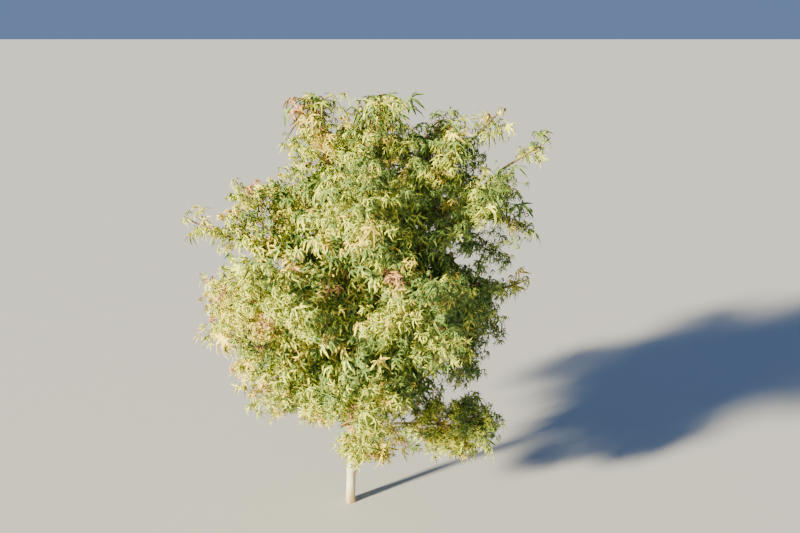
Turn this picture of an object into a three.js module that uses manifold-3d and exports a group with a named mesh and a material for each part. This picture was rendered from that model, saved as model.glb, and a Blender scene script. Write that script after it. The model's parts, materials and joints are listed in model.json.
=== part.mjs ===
// A young variegated Japanese maple, about 1.4 m tall, rooted in the ground.
// One short trunk forks low into steep boughs. Each bough ends in a mass of foliage: a stem with
// opposite twigs and star-shaped leaves on stalks. Every leaf stands for a spray of small ones.
// Units are millimetres, +Z is up, and the origin is the centre of the flat cut at ground level.
// +X is the tree's right side and -Y its front.
import * as THREE from "three";
import { mergeVertices } from "three/addons/utils/BufferGeometryUtils.js";
import Module from "manifold-3d";

const wasm = await Module();
wasm.setup();
const { degToRad, lerp } = THREE.MathUtils;

// Driving dimensions
const TREE_HEIGHT = 1430;
const CROWN_REACH = 600;

// Trunk: radii at the foot and at the fork, with the flare at the roots and the graft's swelling
const TRUNK_TOP = 0.26 * TREE_HEIGHT;
const TRUNK = { foot: 16, fork: 14, sides: 12, steps: 12 };
const ROOT_FLARE = { radius: 2.2, fade: 16 };
const GRAFT = { height: 132, radius: 3, spread: 18 };

// Boughs: the angle at which one leaves its parent, how far it bends, and its girth at the fork as
// a share of its parent's girth there. The girth falls off towards the tip.
const FORK_ANGLE = degToRad(40);
const BEND = 0.36;
const GIRTH = { leader: 0.96, offTrunk: 0.52, offBough: 0.72, tip: 4.2, fall: 0.8 };
const BOUGH = { sides: 5, steps: 5 };

// Foliage: the stem through a mass, and the twigs on it in pairs, each pair a quarter turn from the
// last. Lengths are shares of the mass's half-sizes.
const STEM = { back: 0.64, reach: 1.12, foot: 4, tip: 3, sway: 0.08, sides: 4, steps: 2 };
const TWIG = { reach: 0.5, radius: 2.1, sides: 3, angle: degToRad(58), lift: 0.12, node: 0.6 };
const PAIRS = { big: [0.12, 0.44, 0.78], small: [0.25, 0.7] };
const MOST_LEAVES = { big: 12, small: 7 };
const SMALL = 120;

// Leaves: palmate, with five pointed lobes that hang down, on a three-sided stalk
const LEAF = { share: 0.7, most: 118, shrink: 0.35, thickness: 2.2, droop: 0.22, sag: 0.7, spread: 1.2 };
const STALK = { length: 0.26, radius: 0.85, slope: 0.5 };
const LOBES = [
  { angle: -114, length: 0.6 },
  { angle: -56, length: 0.92 },
  { angle: 0, length: 1 },
  { angle: 56, length: 0.92 },
  { angle: 114, length: 0.6 },
];
const NOTCH = { between: 0.46, back: 0.14 };
const TRIES = 60;
const SEED = 20417;

// Clearances: where two pieces meet, round a limb, and between the spaces of two masses
const TOUCH = 0.3;
const LIMB_CLEAR = 1.2;
const SPACE_CLEAR = 1;

// Every mass of foliage and the bough that carries it. "at" is the share of the parent's length at
// which the bough leaves, turn is degrees round the trunk from +X, out a share of the crown's reach,
// up a share of the tree's height, rise the slope of the stem in degrees, and size the half-length
// and half-width of its space as shares of the crown's reach.
const MASSES = {
  top_middle: { from: "trunk", at: 1, turn: -12, out: 0.17, up: 0.895, rise: 80, size: [0.33, 0.29] },
  top_left: { from: "top_middle", at: 0.36, turn: 186, out: 0.1, up: 0.875, rise: 78, size: [0.29, 0.22] },
  top_back: { from: "top_middle", at: 0.24, turn: 75, out: 0.39, up: 0.82, rise: 66, size: [0.34, 0.29] },
  top_front: { from: "trunk", at: 0.84, turn: 288, out: 0.4, up: 0.74, rise: 60, size: [0.37, 0.33] },
  front_left: { from: "top_front", at: 0.2, turn: 242, out: 0.56, up: 0.57, rise: 42, size: [0.37, 0.33] },
  front_right: { from: "top_front", at: 0.34, turn: 302, out: 0.62, up: 0.565, rise: 36, size: [0.37, 0.33] },
  left_upper: { from: "trunk", at: 0.86, turn: 172, out: 0.4, up: 0.665, rise: 55, size: [0.37, 0.33] },
  left_tip: { from: "left_upper", at: 0.56, turn: 183, out: 0.72, up: 0.7, rise: 24, size: [0.18, 0.14] },
  left_mid: { from: "left_upper", at: 0.26, turn: 184, out: 0.44, up: 0.5, rise: 28, size: [0.37, 0.33] },
  right_upper: { from: "trunk", at: 0.8, turn: 351, out: 0.63, up: 0.725, rise: 45, size: [0.37, 0.33] },
  top_right: { from: "right_upper", at: 0.4, turn: 4, out: 0.44, up: 0.82, rise: 64, size: [0.32, 0.28] },
  top_right_tip: { from: "top_right", at: 0.6, turn: 5, out: 0.74, up: 0.92, rise: 46, size: [0.18, 0.14] },
  right_tip: { from: "right_upper", at: 0.6, turn: 2, out: 0.97, up: 0.865, rise: 32, size: [0.18, 0.12] },
  right_mid: { from: "right_upper", at: 0.24, turn: 352, out: 0.53, up: 0.515, rise: 26, size: [0.36, 0.32] },
  right_mid_tip: { from: "right_mid", at: 0.5, turn: 359, out: 0.87, up: 0.56, rise: 18, size: [0.15, 0.12] },
  back_left: { from: "trunk", at: 0.9, turn: 114, out: 0.58, up: 0.67, rise: 50, size: [0.37, 0.33] },
  back_left_low: { from: "back_left", at: 0.2, turn: 139, out: 0.61, up: 0.43, rise: 22, size: [0.34, 0.29] },
  back_right: { from: "trunk", at: 0.88, turn: 47, out: 0.69, up: 0.69, rise: 46, size: [0.37, 0.33] },
  back_middle: { from: "back_right", at: 0.26, turn: 79, out: 0.64, up: 0.47, rise: 30, size: [0.37, 0.33] },
  back_right_low: { from: "trunk", at: 0.76, turn: 34, out: 0.7, up: 0.43, rise: 20, size: [0.34, 0.29] },
  left_low: { from: "trunk", at: 0.72, turn: 212, out: 0.34, up: 0.38, rise: 16, size: [0.33, 0.28] },
  front_low: { from: "trunk", at: 0.66, turn: 278, out: 0.47, up: 0.39, rise: 20, size: [0.34, 0.3] },
  right_low: { from: "trunk", at: 0.66, turn: 354, out: 0.48, up: 0.395, rise: 24, size: [0.3, 0.25] },
  front_skirt: { from: "trunk", at: 0.5, turn: 292, out: 0.25, up: 0.205, rise: 4, size: [0.18, 0.16] },
  right_skirt: { from: "trunk", at: 0.56, turn: 346, out: 0.54, up: 0.24, rise: 6, size: [0.35, 0.21] },
};

const UP = new THREE.Vector3(0, 0, 1);
const CROWN_HEART = new THREE.Vector3(30, 0, 0.56 * TREE_HEIGHT);

// A repeatable stream of numbers from 0 to 1
function seeded(seed) {
  let state = seed;
  return () => {
    state = (1664525 * state + 1013904223) % 4294967296;
    return state / 4294967296;
  };
}

// A closed geometry with its shared corners merged and the triangles squeezed to nothing dropped
function closed(geometry) {
  const bare = geometry.clone();
  bare.deleteAttribute("normal");
  bare.deleteAttribute("uv");
  const merged = mergeVertices(bare, 1e-4);
  const corners = merged.getIndex().array;
  const kept = [];
  for (let i = 0; i < corners.length; i += 3) {
    const [a, b, c] = corners.slice(i, i + 3);
    if (a !== b && b !== c && c !== a) kept.push(a, b, c);
  }
  merged.setIndex(kept);
  return merged;
}

// A closed geometry as a solid that can be joined and cut
function solidOf(geometry) {
  const whole = closed(geometry);
  return new wasm.Manifold(
    new wasm.Mesh({
      numProp: 3,
      vertProperties: new Float32Array(whole.getAttribute("position").array),
      triVerts: new Uint32Array(whole.getIndex().array),
    }),
  );
}

function geometryOf(solid) {
  const mesh = solid.getMesh();
  const geometry = new THREE.BufferGeometry();
  geometry.setAttribute("position", new THREE.BufferAttribute(mesh.vertProperties, mesh.numProp));
  geometry.setIndex(new THREE.BufferAttribute(mesh.triVerts, 1));
  geometry.computeVertexNormals();
  return geometry;
}

function joined(solids) {
  return wasm.Manifold.union(solids);
}

// Cutting can leave a loose scrap, so only the main piece is kept.
function largestPiece(solid) {
  return solid.decompose().reduce((best, piece) => (piece.volume() > best.volume() ? piece : best));
}

function cornersOf(geometry) {
  const position = geometry.getAttribute("position");
  const cornerAt = (_, i) => new THREE.Vector3().fromBufferAttribute(position, i);
  return Array.from({ length: position.count }, cornerAt);
}

// A cylinder bent along a curve, with its own radius at each share of the way
function limbGeometry({ curve, radiusAt, sides, steps }, more = 0) {
  const geometry = new THREE.CylinderGeometry(1, 1, 1, sides, steps);
  const { normals, binormals } = curve.computeFrenetFrames(steps, false);
  const position = geometry.getAttribute("position");
  for (let i = 0; i < position.count; i += 1) {
    const step = Math.round((position.getY(i) + 0.5) * steps);
    const share = step / steps;
    const radius = radiusAt(share) + more;
    const point = curve
      .getPointAt(share)
      .addScaledVector(normals[step], position.getX(i) * radius)
      .addScaledVector(binormals[step], -position.getZ(i) * radius);
    position.setXYZ(i, point.x, point.y, point.z);
  }
  return geometry;
}

function limb(shape, more = 0) {
  return solidOf(limbGeometry(shape, more));
}

// The part of a vector that stands square to an axis, as a unit vector
function squareTo(vector, axis) {
  return vector.clone().addScaledVector(axis, -vector.dot(axis)).normalize();
}

// The direction that leaves an axis by an angle, on the side where "towards" lies
function swung(axis, towards, angle) {
  const side = squareTo(towards, axis);
  return axis.clone().multiplyScalar(Math.cos(angle)).addScaledVector(side, Math.sin(angle));
}

function trunkRadius(share) {
  const height = share * TRUNK_TOP;
  const flare = ROOT_FLARE.radius * Math.exp(-height / ROOT_FLARE.fade);
  const graft = GRAFT.radius * Math.exp(-(((height - GRAFT.height) / GRAFT.spread) ** 2));
  return lerp(TRUNK.foot, TRUNK.fork, share) + flare + graft;
}

// The trunk stands upright at the ground, leans a little to the right and comes back at its fork.
const trunk = {
  curve: new THREE.CatmullRomCurve3([
    new THREE.Vector3(0, 0, 0),
    new THREE.Vector3(0, 0, 0.06 * TRUNK_TOP),
    new THREE.Vector3(5, 0, 0.34 * TRUNK_TOP),
    new THREE.Vector3(10, -1, 0.52 * TRUNK_TOP),
    new THREE.Vector3(8, 2, 0.78 * TRUNK_TOP),
    new THREE.Vector3(4, 1, TRUNK_TOP),
  ]),
  radiusAt: trunkRadius,
  sides: TRUNK.sides,
  steps: TRUNK.steps,
};

// A row of the table in millimetres, with its stem's direction and the point where its bough ends
function placed([name, row], index) {
  const turn = degToRad(row.turn);
  const rise = degToRad(row.rise);
  const out = row.out * CROWN_REACH;
  const [long, wide] = row.size.map((share) => share * CROWN_REACH);
  const outward = new THREE.Vector3(Math.cos(turn), Math.sin(turn), 0);
  const axis = outward.clone().multiplyScalar(Math.cos(rise)).addScaledVector(UP, Math.sin(rise));
  const centre = outward.clone().multiplyScalar(out).addScaledVector(UP, row.up * TREE_HEIGHT);
  const foot = centre.clone().addScaledVector(axis, -STEM.back * long);
  const kind = long > SMALL ? "big" : "small";
  return { ...row, name, index, kind, long, wide, axis, centre, foot };
}

// A bough runs from the middle of its parent to the foot of its mass, where it points along the
// stem. The leader stands on the flat top of the trunk.
function boughOf(mass, parent) {
  const leader = mass.at === 1;
  const along = parent.curve.getTangentAt(mass.at);
  const start = parent.curve.getPointAt(mass.at).addScaledVector(along, leader ? TOUCH : 0);
  const way = mass.foot.clone().sub(start);
  const bend = BEND * way.length();
  const leaving = leader ? along : swung(along, way, FORK_ANGLE);
  const room = parent.radiusAt(mass.at);
  const share = parent === trunk ? GIRTH.offTrunk : GIRTH.offBough;
  const side = Math.min(Math.max(share * room, 1.15 * GIRTH.tip), 0.8 * room);
  const girth = leader ? GIRTH.leader * room : side;
  const tip = Math.min(GIRTH.tip, girth);
  const curve = new THREE.CubicBezierCurve3(
    start,
    start.clone().addScaledVector(leaving, bend),
    mass.foot.clone().addScaledVector(mass.axis, -bend),
    mass.foot,
  );
  return { curve, radiusAt: (s) => lerp(girth, tip, s ** GIRTH.fall), ...BOUGH };
}

// The leaf's outline from its first lobe round to the notch at the stalk
const OUTLINE = LOBES.flatMap(({ angle, length }, i) => {
  const next = LOBES[i + 1];
  const notch = next
    ? { angle: (angle + next.angle) / 2, length: NOTCH.between }
    : { angle: 180, length: NOTCH.back };
  return [{ angle, length }, notch];
});
const STALK_WAY = new THREE.Vector3(Math.cos(STALK.slope), 0, Math.sin(STALK.slope));

function stalkFoot(radius) {
  return STALK_WAY.clone().multiplyScalar(-STALK.length * radius);
}

// A leaf with its middle lobe along +X and its upper face towards +Z. It is a sphere whose five rows
// become the middle of the blade, its outline, and the neck, foot and end of the stalk, which comes
// up from behind and below. "stalk" is the share of the stalk that is made.
function leafGeometry(radius, stalk = 1) {
  const geometry = new THREE.SphereGeometry(1, OUTLINE.length, 4);
  const position = geometry.getAttribute("position");
  const foot = stalkFoot(radius).multiplyScalar(stalk);
  for (let i = 0; i < position.count; i += 1) {
    const row = Math.floor(i / (OUTLINE.length + 1));
    const column = (i % (OUTLINE.length + 1)) % OUTLINE.length;
    const { angle, length } = OUTLINE[column];
    const turn = degToRad(angle);
    const corner = (Math.min(Math.floor(column / 3), 2) - 1) * degToRad(120);
    const point = new THREE.Vector3(0, 0, LEAF.thickness);
    if (row === 1) {
      point.set(Math.cos(turn), Math.sin(turn), -LEAF.droop * length).multiplyScalar(length * radius);
    }
    if (row === 2) {
      point.set(Math.cos(corner), Math.sin(corner), 0).multiplyScalar(STALK.radius);
    }
    if (row === 3) {
      point.set(Math.cos(corner) * STALK_WAY.z, Math.sin(corner), -Math.cos(corner) * STALK_WAY.x);
      point.multiplyScalar(STALK.radius).add(foot);
    }
    if (row === 4) point.copy(foot);
    position.setXYZ(i, point.x, point.y, point.z);
  }
  return geometry;
}

// The place of a leaf whose stalk starts at "root": its middle lobe follows the heading and hangs by
// "sag", and its face is turned out of the crown, to the light.
function leafPlace(radius, root, heading, sag) {
  const midrib = heading.clone().addScaledVector(UP, -sag).normalize();
  const outward = root.clone().sub(CROWN_HEART).normalize();
  const face = squareTo(outward.addScaledVector(UP, 0.35), midrib);
  const basis = new THREE.Matrix4().makeBasis(midrib, face.clone().cross(midrib), face);
  return basis.setPosition(root.clone().sub(stalkFoot(radius).applyMatrix4(basis)));
}

// The space of a mass is a spheroid round its stem, cut by a plane towards every other mass. The
// plane lies nearer to the smaller of the two.
function spaceOf(mass, masses) {
  const walls = masses
    .filter((other) => other !== mass)
    .map((other) => {
      const way = other.centre.clone().sub(mass.centre);
      const apart = way.length();
      const share = (mass.long + mass.wide) / (mass.long + mass.wide + other.long + other.wide);
      return { normal: way.divideScalar(apart), offset: apart * share - SPACE_CLEAR / 2 };
    });
  return (point) => {
    const from = point.clone().sub(mass.centre);
    const along = from.dot(mass.axis);
    const across = Math.sqrt(Math.max(from.lengthSq() - along ** 2, 0));
    const inside = Math.hypot(along / mass.long, across / mass.wide) <= 1;
    return inside && walls.every(({ normal, offset }) => normal.dot(from) <= offset);
  };
}

// One mass of foliage, grown by a seeded rule inside its space and clear of every limb
class Foliage {
  constructor(mass, masses, limbs, others) {
    const random = seeded(SEED + 97 * mass.index);
    this.mass = mass;
    this.limbs = limbs;
    this.others = others;
    this.wobble = (size) => (2 * random() - 1) * size;
    this.holds = spaceOf(mass, masses);
    this.side = squareTo(new THREE.Vector3(-mass.axis.y, mass.axis.x, 0.01), mass.axis);
    this.lift = mass.axis.clone().cross(this.side);
    this.leaves = [];
    this.shoots = [];
  }

  growStem() {
    const { mass, side } = this;
    const length = STEM.reach * mass.long;
    const sway = this.wobble(STEM.sway) * length;
    const start = mass.foot.clone().addScaledVector(mass.axis, TOUCH);
    const middle = start.clone().addScaledVector(mass.axis, 0.5 * length);
    const end = start.clone().addScaledVector(mass.axis, length).addScaledVector(side, sway);
    const curve = new THREE.QuadraticBezierCurve3(start, middle, end);
    const radiusAt = (s) => lerp(STEM.foot, STEM.tip, s);
    this.stem = { curve, solid: limb({ curve, radiusAt, sides: STEM.sides, steps: STEM.steps }) };
    this.shoots.push({
      solid: this.stem.solid,
      tip: curve.getPointAt(0.98),
      node: curve.getPointAt(0.88),
      along: curve.getTangentAt(1),
      across: side,
    });
  }

  // Twigs leave the stem in opposite pairs. One that would leave the space or touch a limb is skipped.
  growTwigs() {
    const { curve } = this.stem;
    PAIRS[this.mass.kind].forEach((share, pair) => {
      const quarter = (pair % 2) * (Math.PI / 2) + this.wobble(0.25);
      for (const turn of [quarter, quarter + Math.PI]) {
        const towards = this.side.clone().multiplyScalar(Math.cos(turn));
        towards.addScaledVector(this.lift, Math.sin(turn));
        const along = swung(curve.getTangentAt(share), towards, TWIG.angle + this.wobble(0.12));
        const root = curve.getPointAt(share);
        const reach = TWIG.reach * this.mass.wide * (1 + this.wobble(0.12));
        const tip = root.clone().addScaledVector(along, reach).addScaledVector(UP, TWIG.lift * reach);
        const line = new THREE.LineCurve3(root, tip);
        const shape = limbGeometry({ curve: line, radiusAt: () => TWIG.radius, sides: TWIG.sides, steps: 1 });
        const solid = solidOf(shape);
        if (!cornersOf(shape).every(this.holds) || !solid.intersect(this.limbs).isEmpty()) continue;
        this.shoots.push({
          solid,
          tip: root.clone().lerp(tip, 0.94),
          node: root.clone().lerp(tip, TWIG.node),
          along,
          across: squareTo(UP.clone().cross(along), along),
        });
      }
    });
  }

  // Of many tried places for a leaf, the largest leaf that is furthest from all others stays. One
  // that would leave the space, or touch a limb, a twig or another leaf, is skipped.
  growLeaf(shoot, turn) {
    const { mass, wobble } = this;
    const root = turn === 0 ? shoot.tip : shoot.node;
    const aim = swung(shoot.along, shoot.across.clone().multiplyScalar(Math.sign(turn) || 1), Math.abs(turn));
    const largest = Math.min(LEAF.share * mass.wide, LEAF.most);
    let best = null;
    for (let attempt = 0; attempt < TRIES; attempt += 1) {
      const tried = attempt / TRIES;
      const radius = largest * (1 - LEAF.shrink * tried ** 3);
      const heading = aim
        .clone()
        .addScaledVector(this.side, wobble(0.3 + tried))
        .addScaledVector(this.lift, wobble(0.3 + tried))
        .normalize();
      const place = leafPlace(radius, root, heading, LEAF.sag + wobble(tried));
      const whole = leafGeometry(radius).applyMatrix4(place);
      if (!cornersOf(whole).every(this.holds)) continue;
      const middle = new THREE.Vector3(0.35 * radius, 0, 0).applyMatrix4(place);
      const room = Math.min(...this.others.map((other) => other.distanceTo(middle)), 2 * mass.long);
      const worth = room * radius ** 2;
      if (best && worth <= best.worth) continue;
      const blade = solidOf(leafGeometry(radius, 0.7).applyMatrix4(place));
      if (this.isFree(blade)) best = { shoot, middle, worth, blade, solid: solidOf(whole) };
    }
    if (!best) return;
    this.leaves.push(best);
    this.others.push(best.middle);
  }

  isFree(blade) {
    const solids = [this.limbs, this.wood, ...this.leaves.map((leaf) => leaf.blade)];
    return solids.every((solid) => solid.intersect(blade).isEmpty());
  }

  // Every shoot has a leaf at its tip and, while there are leaves left to place, a pair below it.
  grow() {
    this.growStem();
    this.growTwigs();
    this.wood = joined(this.shoots.map((shoot) => shoot.solid));
    this.shoots.forEach((shoot) => this.growLeaf(shoot, 0));
    for (const shoot of this.shoots) {
      for (const turn of [LEAF.spread, -LEAF.spread]) {
        if (this.leaves.length < MOST_LEAVES[this.mass.kind]) this.growLeaf(shoot, turn);
      }
    }
    const bearing = new Set([this.stem.solid, ...this.leaves.map((leaf) => leaf.shoot.solid)]);
    return joined([...bearing, ...this.leaves.map((leaf) => leaf.solid)]).simplify(0.02);
  }
}

const tree = new THREE.Group();

function addNode(name, solid, look) {
  const material = new THREE.MeshStandardMaterial({ metalness: 0, ...look });
  const mesh = new THREE.Mesh(geometryOf(largestPiece(solid)), material);
  mesh.name = name;
  tree.add(mesh);
}

const masses = Object.entries(MASSES).map(placed);
const limbs = new Map([["trunk", trunk]]);
for (const mass of masses) {
  limbs.set(mass.name, boughOf(mass, limbs.get(mass.from)));
}

addNode("trunk", limb(trunk), { color: "#c9c0a0", roughness: 0.85 });

// A bough is cut clear of the limbs before it in the table, and of its parent above all.
for (const mass of masses) {
  const before = [...limbs.values()].slice(0, mass.index + 1).map((each) => limb(each, TOUCH));
  const whole = limb(limbs.get(mass.name));
  const solid = mass.at === 1 ? whole : whole.subtract(joined(before));
  addNode(`bough_${mass.name}`, solid, { color: "#97885f", roughness: 0.8 });
}

const thickLimbs = joined([...limbs.values()].map((each) => limb(each, LIMB_CLEAR)));
const leafMiddles = [];
for (const mass of masses) {
  const solid = new Foliage(mass, masses, thickLimbs, leafMiddles).grow();
  addNode(`foliage_${mass.name}`, solid, { color: "#b3bb78", roughness: 0.6 });
}

export default tree;
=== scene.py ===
"""A young variegated Japanese maple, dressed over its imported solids.

The trunk and the boughs get a skin of bark. Each mass of foliage gets the stem and the twigs that
the solids' own rule grows, carried on to finer twigs and to leaves of their true size. All sizes
are in metres, +Z is up, and -Y is the side that the camera looks at.
"""

import json
import logging
import math
from dataclasses import dataclass, field
from enum import Enum
from typing import Callable, Iterable

import bpy
import numpy as np
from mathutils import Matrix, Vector

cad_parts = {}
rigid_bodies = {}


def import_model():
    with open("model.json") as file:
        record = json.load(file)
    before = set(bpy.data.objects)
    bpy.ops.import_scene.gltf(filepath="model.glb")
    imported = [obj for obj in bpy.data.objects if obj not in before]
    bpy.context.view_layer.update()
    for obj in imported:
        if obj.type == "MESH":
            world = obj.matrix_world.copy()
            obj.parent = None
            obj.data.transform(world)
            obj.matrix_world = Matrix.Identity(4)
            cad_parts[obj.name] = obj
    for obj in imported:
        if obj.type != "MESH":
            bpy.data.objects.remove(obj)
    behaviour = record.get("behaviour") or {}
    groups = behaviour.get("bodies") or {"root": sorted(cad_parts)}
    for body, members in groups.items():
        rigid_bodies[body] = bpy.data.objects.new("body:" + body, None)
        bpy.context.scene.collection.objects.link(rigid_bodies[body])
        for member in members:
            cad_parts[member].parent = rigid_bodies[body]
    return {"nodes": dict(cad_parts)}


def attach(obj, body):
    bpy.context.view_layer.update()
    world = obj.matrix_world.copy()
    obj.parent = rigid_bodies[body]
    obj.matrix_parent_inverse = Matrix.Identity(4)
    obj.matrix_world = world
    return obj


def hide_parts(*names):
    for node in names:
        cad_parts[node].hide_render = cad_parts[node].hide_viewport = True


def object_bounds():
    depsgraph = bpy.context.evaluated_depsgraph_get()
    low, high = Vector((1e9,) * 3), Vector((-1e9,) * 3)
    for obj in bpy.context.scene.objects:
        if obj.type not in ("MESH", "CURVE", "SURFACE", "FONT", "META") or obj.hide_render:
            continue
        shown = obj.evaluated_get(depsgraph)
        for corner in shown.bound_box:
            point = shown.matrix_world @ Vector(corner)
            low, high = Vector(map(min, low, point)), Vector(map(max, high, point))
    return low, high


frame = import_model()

log = logging.getLogger("maple")

CAD_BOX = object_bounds()

TREE_HEIGHT = 1.43
CROWN_REACH = 0.6
LOWEST_LEAF = 0.24
TRUNK_TOP = 0.26 * TREE_HEIGHT
UP = np.array([0.0, 0.0, 1.0])
CROWN_HEART = np.array([0.03, 0.0, 0.56 * TREE_HEIGHT])
CROWN_RADII = np.array([0.6, 0.56, 0.62])
SEED = 20417
TOUCH = 0.0003


# Directions and curves

def unit(vector: np.ndarray) -> np.ndarray:
    """Returns the vector at length 1."""
    return vector / np.linalg.norm(vector)


def square_to(vector: np.ndarray, axis: np.ndarray) -> np.ndarray:
    """Returns the part of a vector that stands square to a unit axis, at length 1."""
    return unit(vector - axis * np.dot(vector, axis))


def swung(axis: np.ndarray, towards: np.ndarray, angle: float) -> np.ndarray:
    """Returns the unit direction that leaves a unit axis by an angle in radians, towards a vector."""
    return axis * math.cos(angle) + square_to(towards, axis) * math.sin(angle)


class Path:
    """A curve through space that is walked by the share of its length."""

    def __init__(self, points: np.ndarray) -> None:
        """Takes the curve's closely spaced points, one a row."""
        steps = np.linalg.norm(np.diff(points, axis=0), axis=1)
        self.points = points
        self.length = float(steps.sum())
        self.shares = np.concatenate([[0.0], np.cumsum(steps)]) / self.length

    def at(self, share: float | np.ndarray) -> np.ndarray:
        """Returns the point, or one row a point, at a share of the length."""
        return np.stack([np.interp(share, self.shares, column) for column in self.points.T], axis=-1)

    def heading(self, share: float) -> np.ndarray:
        """Returns the unit direction of the curve at a share of its length."""
        return unit(self.at(min(share + 0.02, 1.0)) - self.at(max(share - 0.02, 0.0)))


def bezier(*controls: np.ndarray, count: int = 48) -> Path:
    """Returns the Bezier curve of some control points as a path of so many points."""
    shares = np.linspace(0, 1, count)[:, None]
    rows = [np.broadcast_to(point, (count, 3)) for point in controls]
    while len(rows) > 1:
        rows = [one * (1 - shares) + two * shares for one, two in zip(rows, rows[1:])]
    return Path(rows[0])


def spline_through(points: list[np.ndarray], count: int = 24) -> Path:
    """Returns a centripetal Catmull-Rom spline through points, with so many drawn between two."""
    whole = [2 * points[0] - points[1], *points, 2 * points[-1] - points[-2]]
    drawn = [points[0]]
    for before, start, end, after in zip(whole, whole[1:], whole[2:], whole[3:]):
        gaps = [math.sqrt(np.linalg.norm(b - a)) for a, b in ((before, start), (start, end), (end, after))]
        leave = (start - before) / gaps[0] - (end - before) / (gaps[0] + gaps[1]) + (end - start) / gaps[1]
        reach = (end - start) / gaps[1] - (after - start) / (gaps[1] + gaps[2]) + (after - end) / gaps[2]
        controls = (start, start + leave * gaps[1] / 3, end - reach * gaps[1] / 3, end)
        drawn.extend(bezier(*controls, count=count + 1).points[1:])
    return Path(np.array(drawn))


class Seeded:
    """A repeatable stream of numbers."""

    def __init__(self, seed: int) -> None:
        """Starts the stream at a whole number."""
        self.state = seed

    def share(self) -> float:
        """Returns the next number, from 0 to 1."""
        self.state = (1664525 * self.state + 1013904223) % 2**32
        return self.state / 2**32

    def wobble(self, size: float) -> float:
        """Returns a number from -size to size."""
        return (2 * self.share() - 1) * size

    def between(self, low: float, high: float) -> float:
        """Returns a number from low to high."""
        return low + (high - low) * self.share()

    def pick(self, weights: Iterable[float]) -> int:
        """Returns the index of one of the weights, each as likely as it is heavy."""
        heights = np.cumsum(list(weights))
        return int(np.searchsorted(heights, self.share() * heights[-1]))


# The crown's plan

@dataclass(frozen=True)
class Mass:
    """A mass of foliage and the bough that carries it.

    Attributes:
        name: The name that its nodes end in.
        parent: The limb that its bough leaves.
        at: The share of the parent's length at which the bough leaves.
        turn: Degrees round the trunk from +X.
        out: The distance from the trunk, as a share of the crown's reach.
        up: The height, as a share of the tree's.
        rise: The slope of its stem in degrees.
        size: The half-length and half-width of its space, as shares of the crown's reach.
    """

    name: str
    parent: str
    at: float
    turn: float
    out: float
    up: float
    rise: float
    size: tuple[float, float]

    @property
    def outward(self) -> np.ndarray:
        """The level direction from the trunk."""
        turn = math.radians(self.turn)
        return np.array([math.cos(turn), math.sin(turn), 0.0])

    @property
    def axis(self) -> np.ndarray:
        """The direction of the stem."""
        rise = math.radians(self.rise)
        return self.outward * math.cos(rise) + UP * math.sin(rise)

    @property
    def centre(self) -> np.ndarray:
        """The middle of the space."""
        return self.outward * self.out * CROWN_REACH + UP * self.up * TREE_HEIGHT

    @property
    def long(self) -> float:
        """The half-length of the space."""
        return self.size[0] * CROWN_REACH

    @property
    def wide(self) -> float:
        """The half-width of the space."""
        return self.size[1] * CROWN_REACH

    @property
    def slender(self) -> bool:
        """True for a mass that is one long shoot at the rim of the crown."""
        return self.size[1] < 0.15

    @property
    def upright(self) -> bool:
        """True for a mass at the top, whose stem leads into an upright young shoot."""
        return self.rise > 62 and not self.slender

    @property
    def skirt(self) -> bool:
        """True for a mass at the foot of the crown, where the leaves stand closer."""
        return self.up < 0.3

    @property
    def foot(self) -> np.ndarray:
        """The point where the bough ends and the stem starts."""
        return self.centre - self.axis * Stem.back * self.long


class Stem:
    """The stem through a mass, in shares of the half-length of its space."""

    back = 0.64
    reach = 1.12
    sway = 0.08
    foot = 0.004
    tip = 0.0026


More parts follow.
